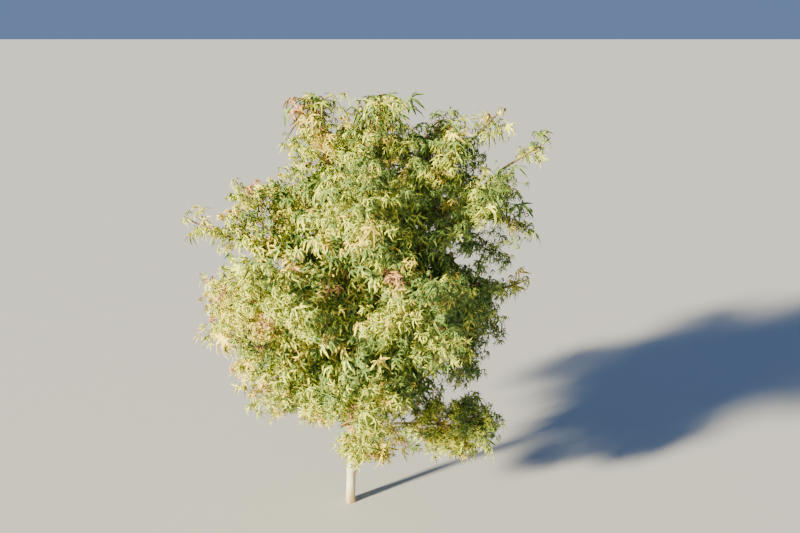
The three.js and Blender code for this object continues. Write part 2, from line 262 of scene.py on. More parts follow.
MASSES = (
    Mass("top_middle", "trunk", 1, -12, 0.17, 0.895, 80, (0.33, 0.29)),
    Mass("top_left", "top_middle", 0.36, 186, 0.1, 0.875, 78, (0.29, 0.22)),
    Mass("top_back", "top_middle", 0.24, 75, 0.39, 0.82, 66, (0.34, 0.29)),
    Mass("top_front", "trunk", 0.84, 288, 0.4, 0.74, 60, (0.37, 0.33)),
    Mass("front_left", "top_front", 0.2, 242, 0.56, 0.57, 42, (0.37, 0.33)),
    Mass("front_right", "top_front", 0.34, 302, 0.62, 0.565, 36, (0.37, 0.33)),
    Mass("left_upper", "trunk", 0.86, 172, 0.4, 0.665, 55, (0.37, 0.33)),
    Mass("left_tip", "left_upper", 0.56, 183, 0.72, 0.7, 24, (0.18, 0.14)),
    Mass("left_mid", "left_upper", 0.26, 184, 0.44, 0.5, 28, (0.37, 0.33)),
    Mass("right_upper", "trunk", 0.8, 351, 0.63, 0.725, 45, (0.37, 0.33)),
    Mass("top_right", "right_upper", 0.4, 4, 0.44, 0.82, 64, (0.32, 0.28)),
    Mass("top_right_tip", "top_right", 0.6, 5, 0.74, 0.92, 46, (0.18, 0.14)),
    Mass("right_tip", "right_upper", 0.6, 2, 0.97, 0.865, 32, (0.18, 0.12)),
    Mass("right_mid", "right_upper", 0.24, 352, 0.53, 0.515, 26, (0.36, 0.32)),
    Mass("right_mid_tip", "right_mid", 0.5, 359, 0.87, 0.56, 18, (0.15, 0.12)),
    Mass("back_left", "trunk", 0.9, 114, 0.58, 0.67, 50, (0.37, 0.33)),
    Mass("back_left_low", "back_left", 0.2, 139, 0.61, 0.43, 22, (0.34, 0.29)),
    Mass("back_right", "trunk", 0.88, 47, 0.69, 0.69, 46, (0.37, 0.33)),
    Mass("back_middle", "back_right", 0.26, 79, 0.64, 0.47, 30, (0.37, 0.33)),
    Mass("back_right_low", "trunk", 0.76, 34, 0.7, 0.43, 20, (0.34, 0.29)),
    Mass("left_low", "trunk", 0.72, 212, 0.34, 0.38, 16, (0.33, 0.28)),
    Mass("front_low", "trunk", 0.66, 278, 0.47, 0.39, 20, (0.34, 0.3)),
    Mass("right_low", "trunk", 0.66, 354, 0.48, 0.395, 24, (0.3, 0.25)),
    Mass("front_skirt", "trunk", 0.5, 292, 0.25, 0.205, 4, (0.18, 0.16)),
    Mass("right_skirt", "trunk", 0.56, 346, 0.54, 0.24, 6, (0.35, 0.21)),
)


class Side(Enum):
    """The sides of the crown, each with the masses whose leaves are joined in one piece."""

    TOP = ("top_middle", "top_left", "top_back", "top_front")
    LEFT = ("left_upper", "left_tip", "left_mid", "left_low")
    UPPER_RIGHT = ("right_upper", "top_right", "top_right_tip", "right_tip")
    RIGHT = ("right_mid", "right_mid_tip", "right_low", "right_skirt")
    FRONT = ("front_left", "front_right", "front_low", "front_skirt")
    BACK = ("back_left", "back_right")
    LOWER_BACK = ("back_left_low", "back_middle", "back_right_low")


class Region:
    """A part of the crown that twigs and leaves keep to."""

    farthest = 0.45
    probes = 91

    def holds(self, points: np.ndarray, limit: float | np.ndarray = 1.0) -> np.ndarray:
        """Tests points, one a row, against the region made larger by a factor."""
        raise NotImplementedError

    def room(self, start: np.ndarray, way: np.ndarray, limit: float = 1.0) -> float:
        """Measures how far a straight line runs inside the region.

        Args:
            start: The point where the line starts.
            way: Its unit direction.
            limit: The factor that makes the region larger.

        Returns:
            The length in metres.
        """
        reach = np.linspace(0, self.farthest, self.probes)
        inside = self.holds(start + reach[:, None] * way, limit)
        return float(reach[-1] if inside.all() else reach[np.argmin(inside)])


class Space(Region):
    """The space of a mass: a blunt spheroid round its stem, cut by a plane towards every other mass.

    It also keeps to the box of the solids. Young shoots are free to stand a little past the box, and
    at the top of the crown they alone rise above the dense foliage.

    Attributes:
        overlap: How far it reaches past the planes.
        squareness: The power of the spheroid's sum, 2 for a true spheroid.
        young_limit: The limit above which a leaf counts as one of a young shoot.
        rim: How far leaves reach past the box's low sides and stay short of its high sides.
        young_rim: How far young leaves reach past the high sides.
        young_top: How far young leaves reach past the top.
        open_top: How far below the top the dense foliage of an upright mass ends.
        ragged: How much higher than that a leaf with a larger limit can be.
    """

    overlap = 0.06
    squareness = 2.9
    young_limit = 1.15
    rim = 0.015
    young_rim = 0.03
    young_top = 0.02
    open_top = 0.08
    ragged = 0.4

    def __init__(self, mass: Mass) -> None:
        """Takes the mass whose space it is."""
        self.mass = mass
        normals = []
        offsets = []
        for other in MASSES:
            if other is mass:
                continue
            way = other.centre - mass.centre
            apart = np.linalg.norm(way)
            ratio = (mass.long + mass.wide) / (mass.long + mass.wide + other.long + other.wide)
            normals.append(way / apart)
            offsets.append(apart * ratio + self.overlap)
        self.normals = np.array(normals)
        self.offsets = np.array(offsets)
        self.below_top = self.open_top if mass.upright else 0.0

    def holds(self, points: np.ndarray, limit: float | np.ndarray = 1.0) -> np.ndarray:
        """Tests points against the space and the box.

        Args:
            points: One point a row.
            limit: How far out a point can lie, as depth_at gives it.

        Returns:
            True for each point inside.
        """
        walled = ((points - self.mass.centre) @ self.normals.T <= self.offsets).all(axis=-1)
        low, high = (np.array(corner) for corner in CAD_BOX)
        limit = np.asarray(limit)
        free = limit > self.young_limit
        past = np.where(free, self.young_rim, -self.rim)[..., None]
        boxed = ((points >= low - self.rim) & (points <= high + past)).all(axis=-1)
        top = high[2] + np.where(free, self.young_top, (limit - 1) * self.ragged - self.below_top)
        height = points[..., 2]
        return (self.depth_at(points) <= limit) & walled & boxed & (height <= top) & (height > LOWEST_LEAF)

    def depth_at(self, points: np.ndarray) -> np.ndarray:
        """Returns how far out points lie: 0 in the middle of the blunt spheroid and 1 at its edge."""
        away = points - self.mass.centre
        along = away @ self.mass.axis
        across = np.sqrt(np.maximum((away**2).sum(axis=-1) - along**2, 0))
        power = self.squareness
        parts = np.abs(along / self.mass.long) ** power + (across / self.mass.wide) ** power
        return parts ** (1 / power)


class Envelope(Region):
    """The whole crown: the spheroids of all masses, without the walls between them, and its core."""

    swell = 1.2
    core = 0.76

    def __init__(self) -> None:
        """Gathers the spaces."""
        self.spaces = [Space(mass) for mass in MASSES]

    def holds(self, points: np.ndarray, limit: float | np.ndarray = 1.0) -> np.ndarray:
        """Tests points, one a row, against every spheroid."""
        depth = np.min([space.depth_at(points) for space in self.spaces], axis=0)
        core = np.linalg.norm((points - CROWN_HEART) / CROWN_RADII, axis=-1) <= self.core
        return ((depth <= limit * self.swell) | core) & (points[..., 2] > LOWEST_LEAF)


# Limbs

@dataclass
class Limb:
    """A trunk or bough: its middle line and its radius at each share of it."""

    path: Path
    radius: Callable[[np.ndarray], np.ndarray]


class Skeleton:
    """The trunk and the boughs, laid out by the solids' own rule."""

    fork_angle = math.radians(40)
    bend = 0.36
    girth_leader = 0.96
    girth_off_trunk = 0.52
    girth_off_bough = 0.72
    girth_tip = 0.0042
    girth_fall = 0.8
    girth_least = 1.15
    girth_most = 0.8
    sample_step = 0.008
    trunk_foot = 0.016
    trunk_fork = 0.014
    flare = 0.0022
    flare_fade = 0.016
    graft_height = 0.132
    graft_radius = 0.003
    graft_spread = 0.018

    def __init__(self) -> None:
        """Lays out every limb in the order of the table."""
        line = ((0, 0, 0), (0, 0, 0.06), (5, 0, 0.34), (10, -1, 0.52), (8, 2, 0.78), (4, 1, 1))
        points = [np.array([x / 1000, y / 1000, share * TRUNK_TOP]) for x, y, share in line]
        self.trunk = Limb(spline_through(points), self.trunk_radius)
        self.limbs = {"trunk": self.trunk}
        for mass in MASSES:
            self.limbs[mass.name] = self.bough(mass)
        self.cloud = np.vstack([self.sampled(limb) for limb in self.limbs.values()])

    def trunk_radius(self, share: np.ndarray) -> np.ndarray:
        """Returns the trunk's radius at a share of its height, with its flare and its graft."""
        height = share * TRUNK_TOP
        flare = self.flare * np.exp(-height / self.flare_fade)
        graft = self.graft_radius * np.exp(-(((height - self.graft_height) / self.graft_spread) ** 2))
        return self.trunk_foot + (self.trunk_fork - self.trunk_foot) * share + flare + graft

    def bough(self, mass: Mass) -> Limb:
        """Returns the bough of a mass, from the middle of its parent to the foot of the mass."""
        parent = self.limbs[mass.parent]
        leads = mass.at == 1
        along = parent.path.heading(mass.at)
        start = parent.path.at(mass.at)
        way = mass.foot - start
        bend = self.bend * np.linalg.norm(way)
        leaving = along if leads else swung(along, way, self.fork_angle)
        room = float(parent.radius(mass.at))
        share = self.girth_off_trunk if mass.parent == "trunk" else self.girth_off_bough
        side = min(max(share * room, self.girth_least * self.girth_tip), self.girth_most * room)
        girth = self.girth_leader * room if leads else side
        tip = min(self.girth_tip, girth)
        path = bezier(start, start + leaving * bend, mass.foot - mass.axis * bend, mass.foot)
        return Limb(path, lambda s: girth + (tip - girth) * s**self.girth_fall)

    def sampled(self, limb: Limb) -> np.ndarray:
        """Returns rows of x, y, z and radius along a limb."""
        shares = np.linspace(0, 1, max(int(limb.path.length / self.sample_step), 8))
        return np.column_stack([limb.path.at(shares), limb.radius(shares)])

    def clear(self, points: np.ndarray, margin: float) -> np.ndarray:
        """Returns True for each point, one a row, that keeps clear of every limb by a margin in metres."""
        away = np.linalg.norm(points[:, None, :] - self.cloud[None, :, :3], axis=2)
        return (away - self.cloud[:, 3] > margin).all(axis=1)


# Leaves

@dataclass(frozen=True)
class LeafShape:
    """A palmate leaf of reach 1, its middle lobe along +X and its upper face towards +Z.

    Attributes:
        lobes: The angle in degrees and the length of each lobe.
        width: The half-width of a lobe where it is widest, as a share of its length.
        notch: How deep the leaf is left whole between two lobes.
        stations: The shares of a lobe's length at which it has a row of points.
        rise: The slope at which a lobe leaves the stalk, in degrees.
        arch: How far a lobe bends down towards its tip, in degrees.
        hook: How far a lobe curls sideways towards its tip, in degrees.
        twist: How far a lobe turns about its own middle, in degrees.
        seed: The seed of the differences between the lobes.
        whole_margin: True for a margin on both sides of a lobe, False for one that runs down one side.
    """

    lobes: tuple[tuple[float, float], ...]
    width: float
    notch: float
    stations: tuple[float, ...]
    rise: float
    arch: float
    hook: float
    twist: float
    seed: int
    whole_margin: bool = False

    base_spread = 32
    base_depth = 0.55
    arch_range = (0.6, 1.3)
    rise_range = (0.5, 1.5)
    inner_edge = 0.52
    keel = 0.6
    keel_drop = 0.2

    def lobe_rows(self, angle: float, length: float, random: Seeded) -> tuple[list[np.ndarray], np.ndarray]:
        """Draws one lobe as rows across it.

        Args:
            angle: The lobe's angle in radians.
            length: Its length.
            random: The leaf's stream of numbers.

        Returns:
            Rows of three or five points, from one margin over the middle to the other, and the tip.
        """
        arch = math.radians(self.arch) * random.between(*self.arch_range)
        hook = math.radians(self.hook) * random.wobble(1.0)
        twist = math.radians(self.twist) * random.wobble(1.0)
        rise = math.radians(self.rise) * random.between(*self.rise_range)
        out = 0.0
        drop = 0.0
        before = 0.0
        rows = []
        for share in (*self.stations, 1.0):
            slope = rise - arch * (share + before) / 2
            out += math.cos(slope) * (share - before) * length
            drop += math.sin(slope) * (share - before) * length
            before = share
            turn = angle + hook * share**2
            ahead = np.array([math.cos(turn), math.sin(turn), 0.0])
            middle = ahead * out + UP * drop
            if share == 1.0:
                break
            side = np.cross(UP, ahead) * math.cos(twist * share) + UP * math.sin(twist * share)
            half = self.width * length * math.sin(math.pi * share**0.75) ** 0.7
            inner = self.inner_edge
            offsets = (1, inner, 0, -inner, -1) if self.whole_margin else (1, 0, -1)
            lifts = [self.keel * abs(offset) - self.keel_drop for offset in offsets]
            rows.append(np.array([middle + half * (side * w + UP * up) for w, up in zip(offsets, lifts)]))
        return rows, middle

    def build(self) -> "LeafMesh":
        """Draws and returns the leaf."""
        random = Seeded(self.seed)
        points = [np.zeros(3)]
        triangles: list[tuple[int, int, int]] = []
        margin: list[int] = []

        def put(point: np.ndarray) -> int:
            """Adds a point and returns its number."""
            points.append(point)
            return len(points) - 1

        def face(part: int, *corners: int) -> None:
            """Adds a triangle, or a quad as two."""
            for second, third in zip(corners[1:], corners[2:]):
                triangles.append((corners[0], second, third))
                margin.append(part)

        notches = []
        angles = [lobe[0] for lobe in self.lobes]
        inner = [(a + b) / 2 for a, b in zip(angles, angles[1:])]
        edges = [angles[0] - self.base_spread, *inner, angles[-1] + self.base_spread]
        for number, angle in enumerate(edges):
            depth = self.notch * (self.base_depth if number in (0, len(angles)) else 1.0)
            turn = math.radians(angle)
            notches.append(put(np.array([math.cos(turn) * depth, math.sin(turn) * depth, 0.02])))
        for number, (angle, length) in enumerate(self.lobes):
            rows, tip = self.lobe_rows(math.radians(angle), length, random)
            numbered = [[put(point) for point in row] for row in rows]
            end = put(tip)
            left, right = notches[number + 1], notches[number]
            numbered.append([end] * len(rows[0]))
            strips = (1, 0, 0, 1) if self.whole_margin else ((1, 0), (0, 1))[random.share() > 0.5]
            first = numbered[0]
            middle = len(first) // 2
            face(strips[0], left, 0, first[middle], first[0])
            face(strips[-1], 0, right, first[-1], first[middle])
            for near, far in zip(numbered, numbered[1:]):
                for strip, part in enumerate(strips):
                    corners = (near[strip], near[strip + 1], far[strip + 1], far[strip])
                    face(1 if far[0] == end else part, *dict.fromkeys(corners))
        return LeafMesh(np.array(points), np.array(triangles), np.array(margin))


@dataclass
class LeafMesh:
    """A leaf as arrays: its points, its triangles, and 1 for each triangle of its margin."""

    points: np.ndarray
    triangles: np.ndarray
    margin: np.ndarray


FIVE_LOBES = ((-108, 0.52), (-54, 0.86), (0, 1.0), (54, 0.86), (108, 0.52))
FAN_LOBES = ((-84, 0.6), (-42, 0.92), (0, 1.0), (42, 0.92), (84, 0.6))
SEVEN_LOBES = ((-128, 0.36), (-86, 0.68), (-43, 0.92), (0, 1.0), (43, 0.92), (86, 0.68), (128, 0.36))
INNER_SHAPES = (
    LeafShape(FIVE_LOBES, 0.11, 0.22, (0.5,), 12, 70, 20, 50, 11),
    LeafShape(FIVE_LOBES, 0.1, 0.2, (0.5,), 5, 95, 30, 70, 12),
    LeafShape(FIVE_LOBES, 0.115, 0.22, (0.5,), 16, 50, 15, 60, 13),
)
OUTER_SHAPES = (
    LeafShape(FIVE_LOBES, 0.08, 0.15, (0.42,), 18, 105, 34, 60, 14),
    LeafShape(FIVE_LOBES, 0.072, 0.14, (0.38,), 10, 130, 45, 80, 15),
    LeafShape(FIVE_LOBES, 0.076, 0.14, (0.45,), 30, 150, 40, 70, 16),
    LeafShape(FIVE_LOBES, 0.07, 0.14, (0.36, 0.7), 6, 150, 50, 90, 17),
    LeafShape(SEVEN_LOBES, 0.072, 0.15, (0.4,), 14, 95, 28, 60, 18),
)
SHOOT_SHAPES = (
    LeafShape(FAN_LOBES, 0.07, 0.1, (0.4, 0.76), 25, 150, 20, 30, 21, True),
    LeafShape(FIVE_LOBES, 0.08, 0.16, (0.4, 0.76), 14, 75, 25, 40, 22, True),
    LeafShape(FIVE_LOBES, 0.068, 0.13, (0.4, 0.76), 25, 130, 30, 50, 23, True),
)


class LeafKind(Enum):
    """The kinds of leaf, each with its shapes and its reach in metres."""

    INNER = (INNER_SHAPES, (0.031, 0.044))
    OUTER = (OUTER_SHAPES, (0.021, 0.032))
    TIP = (OUTER_SHAPES, (0.028, 0.04))
    SHOOT = (SHOOT_SHAPES, (0.046, 0.066))


LEAF_SHAPES = (*INNER_SHAPES, *OUTER_SHAPES, *SHOOT_SHAPES)


# Finishes

def linear(colour: str) -> tuple[float, float, float, float]:
    """Turns an sRGB hex colour to linear red, green and blue and an alpha of 1."""
    channels = [int(colour[i:i + 2], 16) / 255 for i in (1, 3, 5)]
    red, green, blue = (c / 12.92 if c <= 0.04045 else ((c + 0.055) / 1.055) ** 2.4 for c in channels)
    return (red, green, blue, 1.0)


def add_node(
    tree: bpy.types.NodeTree, kind: str, settings: dict | None = None, links: dict | None = None
) -> bpy.types.Node:
    """Adds a node with its settings and links.

    Args:
        tree: The material's node tree.
        kind: The node's type name.
        settings: Values by property name or input name.
        links: The output socket that feeds each input, by input name.

    Returns:
        The new node.
    """
    node = tree.nodes.new(kind)
    for name, value in (settings or {}).items():
        if isinstance(name, str) and hasattr(node, name):
            setattr(node, name, value)
        else:
            node.inputs[name].default_value = value
    for name, source in (links or {}).items():
        tree.links.new(source, node.inputs[name])
    return node


@dataclass(frozen=True)
class PlainFinish:
    """A finish with one colour all over the surface, such as a leaf's blade or a young stalk."""

    name: str
    colour: str
    roughness: float
    ior: float = 1.45
    specular: float = 0.5

    def make(self) -> bpy.types.Material:
        """Returns the finish as a material, made once."""
        made = bpy.data.materials.get(self.name)
        if made:
            return made
        material = bpy.data.materials.new(self.name)
        material.use_nodes = True
        material.diffuse_color = linear(self.colour)
        shader = material.node_tree.nodes["Principled BSDF"]
        shader.inputs["Base Color"].default_value = linear(self.colour)
        shader.inputs["Roughness"].default_value = self.roughness
        shader.inputs["IOR"].default_value = self.ior
        shader.inputs["Specular IOR Level"].default_value = self.specular
        return material


class LeafTint(Enum):
    """How one spray is variegated: the colour of its leaves' middles and of their margins.

    Pale margins round green middles give the crown its flicker of cream and green. Deep green, with its
    dim margins, is painted shade on the crown's shaded right side; inside, it is painted shade and also the
    greener colour of leaves grown in shade. Gold and blush are the young leaves that the sun has warmed.
    """

    CREAM = ("#7A823C", "#F8F062")
    GREY_GREEN = ("#4A6C34", "#DCE458")
    # Deep green: painted shade for sprays on the shaded right side and inside the crown.
    DEEP_GREEN = ("#37582B", "#809846")
    GOLD = ("#7C7236", "#F0DC5C")
    BLUSH = ("#84603E", "#E6AE7C")

    def finishes(self) -> tuple[PlainFinish, PlainFinish]:
        """Returns the finishes of the middle and of the margin, a leaf's waxy skin over its flesh."""
        word = self.name.lower()
        middle = PlainFinish(f"leaf_middle_{word}", self.value[0], 0.5, 1.42, 0.28)
        edge = PlainFinish(f"leaf_margin_{word}", self.value[1], 0.55, 1.42, 0.26)
        return middle, edge


# Coral stalks and shoots give the crown its fine red lines, and twigs of a dull tan carry them.
YOUNG_STALK = PlainFinish("leaf_stalk_coral", "#A8664C", 0.45)
YOUNG_TWIG = PlainFinish("young_twig_bark", "#8C7A4C", 0.6)
YOUNG_SHOOT = PlainFinish("young_shoot_coral", "#B8563E", 0.5)


@dataclass(frozen=True)
class BarkFinish:
    """Smooth young bark: thin and matt, with fine upright streaks, blotches and small pores.

    Attributes:
        name: The material's name.
        stops: Heights in metres with the bark's colour there.
        streak: The colour of the streaks and pores.
        span: The height over which the stops run.
    """

    name: str
    stops: tuple[tuple[float, str], ...]
    streak: str
    span: float

    streak_width = 0.004
    blotch_size = 0.03
    pore_size = 0.006
    wander = 0.03

    def make(self) -> bpy.types.Material:
        """Builds and returns the bark as a material that reads object coordinates."""
        material = bpy.data.materials.new(self.name)
        material.use_nodes = True
        tree = material.node_tree
        shader = tree.nodes["Principled BSDF"]
        place = add_node(tree, "ShaderNodeTexCoord").outputs["Object"]
        height = add_node(tree, "ShaderNodeSeparateXYZ", links={"Vector": place}).outputs["Z"]
        blotch = add_node(
            tree, "ShaderNodeTexNoise", {"Scale": 1 / self.blotch_size, "Detail": 3.0}, {"Vector": place}
        ).outputs["Fac"]
        wandering = {"operation": "MULTIPLY_ADD", 1: self.wander, 2: -self.wander / 2}
        wander = add_node(tree, "ShaderNodeMath", wandering, {0: blotch})
        level = add_node(tree, "ShaderNodeMath", {"operation": "ADD"}, {0: height, 1: wander.outputs[0]})
        share = add_node(tree, "ShaderNodeMath", {"operation": "DIVIDE", 1: self.span}, {0: level.outputs[0]})
        ramp = add_node(tree, "ShaderNodeValToRGB", links={"Fac": share.outputs[0]})
        stops = ramp.color_ramp.elements
        while len(stops) < len(self.stops):
            stops.new(0.5)
        for stop, (at, colour) in zip(stops, self.stops):
            stop.position = at / self.span
            stop.color = linear(colour)
        stretched = add_node(
            tree, "ShaderNodeMapping", {"Scale": (1.0, 1.0, 0.14)}, {"Vector": place}
        ).outputs["Vector"]
        streaks = add_node(
            tree, "ShaderNodeTexNoise", {"Scale": 1 / self.streak_width, "Detail": 4.0}, {"Vector": stretched}
        ).outputs["Fac"]
        pores = add_node(
            tree, "ShaderNodeTexVoronoi", {"Scale": 1 / self.pore_size}, {"Vector": place}
        ).outputs["Distance"]
        faint = {"From Min": 0.5, "From Max": 0.75, "To Max": 0.55}
        dark = add_node(tree, "ShaderNodeMapRange", faint, {"Value": streaks}).outputs["Result"]
        colour = add_node(tree, "ShaderNodeMix", {"data_type": "RGBA"}, {"Factor": dark})
        colour.inputs[7].default_value = linear(self.streak)
        tree.links.new(ramp.outputs["Color"], colour.inputs[6])
        tree.links.new(colour.outputs[2], shader.inputs["Base Color"])
        pitted = add_node(
            tree, "ShaderNodeMapRange", {"From Min": 0.0, "From Max": 0.35}, {"Value": pores}
        ).outputs["Result"]
        weighed = {"operation": "MULTIPLY_ADD", 1: 0.6}
        relief = add_node(tree, "ShaderNodeMath", weighed, {0: streaks, 2: pitted})
        bump = add_node(
            tree, "ShaderNodeBump", {"Strength": 0.35, "Distance": 0.0006}, {"Height": relief.outputs[0]}
        )
        tree.links.new(bump.outputs["Normal"], shader.inputs["Normal"])
        shader.inputs["Roughness"].default_value = 0.72
        shader.inputs["IOR"].default_value = 1.5
        shader.inputs["Specular IOR Level"].default_value = 0.35
        return material


# The trunk reads as a pale, chalky post, tan at its foot and greener just below the graft.
TRUNK_BARK = BarkFinish(
    "maple_trunk_bark",
    (
        (0.0, "#BE9C66"), (0.03, "#DAC697"), (0.08, "#EDE4C4"),
        (0.12, "#D3D5AE"), (0.16, "#F3EEDC"), (0.36, "#E6DFC4"),
    ),
    "#AD9A70",
    0.4,
)
# The boughs are duller than the trunk and darker towards the top: painted shade, so that they sink back
# between the leaves.
BOUGH_BARK = BarkFinish(
    "maple_bough_bark",
    ((0.0, "#C9C09A"), (0.3, "#B5A877"), (0.7, "#8F8353"), (1.2, "#84814A")),
    "#6E5B3A",
    1.5,
)


# Joined meshes

class Batch:
    """Many small meshes, gathered as arrays and joined in one piece."""

    def __init__(self) -> None:
        """Starts with nothing."""
        self.points: list[np.ndarray] = []
        self.triangles: list[np.ndarray] = []
        self.slots: list[np.ndarray] = []
        self.count = 0

    def add(self, points: np.ndarray, triangles: np.ndarray, slots: np.ndarray) -> None:
        """Adds one mesh: its points, its triangles and the material number of each."""
        self.points.append(points)
        self.triangles.append(triangles + self.count)
        self.slots.append(slots)
        self.count += len(points)

    def build(self, name: str, finishes: Iterable[PlainFinish]) -> bpy.types.Object:
        """Joins what was added.

        Args:
            name: The piece's name.
            finishes: The piece's finishes in the order of the material numbers.

        Returns:
            The new object.
        """
        points = np.vstack(self.points)
        triangles = np.vstack(self.triangles)
        mesh = bpy.data.meshes.new(name)
        mesh.vertices.add(len(points))
        mesh.vertices.foreach_set("co", points.ravel())
        mesh.loops.add(triangles.size)
        mesh.loops.foreach_set("vertex_index", triangles.ravel())
        mesh.polygons.add(len(triangles))
        mesh.polygons.foreach_set("loop_start", np.arange(0, triangles.size, 3))
        mesh.polygons.foreach_set("material_index", np.concatenate(self.slots))
        mesh.update(calc_edges=True)
        mesh.validate()
        for finish in finishes:
            mesh.materials.append(finish.make())
        piece = bpy.data.objects.new(name, mesh)
        bpy.context.scene.collection.objects.link(piece)
        log.info("%s: %d triangles", name, len(triangles))
        return piece


def tube(points: np.ndarray, radii: np.ndarray, sides: int) -> tuple[np.ndarray, np.ndarray]:
    """Draws a closed tapering tube.

    Args:
        points: Its middle line, one point a row.
        radii: Its radius at each point.
        sides: The number of its sides.

    Returns:
        Its points and its triangles.
    """
    along = unit(points[-1] - points[0])
    side = square_to(np.array([along[1], -along[0], 0.05]), along)
    lift = np.cross(along, side)
    turns = np.arange(sides) * 2 * math.pi / sides
    ring = np.outer(np.cos(turns), side) + np.outer(np.sin(turns), lift)
    corners = (points[:, None, :] + radii[:, None, None] * ring[None]).reshape(-1, 3)
    faces = []
    for row in range(len(points) - 1):
        for column in range(sides):
            one = row * sides + column
            two = row * sides + (column + 1) % sides
            faces += [(one, two, two + sides), (one, two + sides, one + sides)]
    last = (len(points) - 1) * sides
    faces += [(0, column + 1, column) for column in range(1, sides - 1)]
    faces += [(last, last + column, last + column + 1) for column in range(1, sides - 1)]
    return corners, np.array(faces)


def spike(foot: np.ndarray, tip: np.ndarray, radius: float) -> tuple[np.ndarray, np.ndarray]:
    """Draws a thin three-sided spike from its foot to its tip, as points and triangles."""
    along = unit(tip - foot)
    side = square_to(np.array([along[1], -along[0], 0.05]), along) * radius
    lift = np.cross(along, side)
    corners = [foot + side, foot - side / 2 + lift * 0.87, foot - side / 2 - lift * 0.87, tip]
    return np.array(corners), np.array([(0, 1, 3), (1, 2, 3), (2, 0, 3), (0, 2, 1)])


# Growth

@dataclass
class Shoot:
    """A stem or twig.

    Attributes:
        path: Its middle line.
        foot: Its radius at the foot.
        tip: Its radius at the tip.
        order: 0 for a stem, 1 for a twig and 2 for a twiglet.
        across: The direction across it in which its first pair of leaves points.
        young: True for a coral young shoot with long leaves.
        fill: True for one that fills the crown between the masses.
        tint: The number of the tint of its spray.
    """

    path: Path
    foot: float
    tip: float
    order: int
    across: np.ndarray
    young: bool = False
    fill: bool = False
    tint: int = 0


@dataclass(frozen=True)
class TwigRule:
    """How the twigs of one order leave the shoot before them.

    Attributes:
        first: The share of the parent at which the first pair stands.
        spacing: The distance between pairs.
        angle: The angle to the parent in radians.
        room: The share of the way to the edge of the space that a twig takes.
        longest: The longest twig.
        foot: The radius at the foot.
        tip: The radius at the tip.
        lift: How far a twig arches up, as a share of its length.
        sag: How far its tip hangs, as a share of its length.
        limit: How far out its tip can lie, 1 at the edge of the space.
        young: True for a coral young shoot with long leaves.
    """

    first: float
    spacing: float
    angle: float
    room: float
    longest: float
    foot: float
    tip: float
    lift: float
    sag: float
    limit: float = 1.0
    young: bool = False


TWIG = TwigRule(0.1, 0.046, math.radians(58), 0.9, 0.3, 0.0021, 0.001, 0.14, 0.06)
FILL_TWIG = TwigRule(0.42, 0.042, math.radians(62), 0.9, 0.17, 0.0018, 0.001, 0.14, 0.08)
RIM_SHOOT = TwigRule(0.5, 0.06, math.radians(27), 1.0, 0.17, 0.0016, 0.0008, 0.1, 0.05, 1.3, True)
TOP_SHOOT = TwigRule(0.25, 0.034, math.radians(24), 0.95, 0.2, 0.0016, 0.0008, 0.06, 0.02, 1.3, True)
SPUR = TwigRule(0.25, 0.05, math.radians(46), 0.8, 0.05, 0.0014, 0.0009, 0.1, 0.1)
TWIGLET = TwigRule(0.24, 0.027, math.radians(50), 0.92, 0.085, 0.001, 0.0006, 0.12, 0.1)


@dataclass
class Leaves:
    """The leaves of a mass as growing lists, one entry a leaf."""

    node: list[np.ndarray] = field(default_factory=list)
    root: list[np.ndarray] = field(default_factory=list)
    frame: list[np.ndarray] = field(default_factory=list)
    reach: list[float] = field(default_factory=list)
    limit: list[float] = field(default_factory=list)
    fill: list[bool] = field(default_factory=list)
    shape: list[int] = field(default_factory=list)
    tint: list[int] = field(default_factory=list)


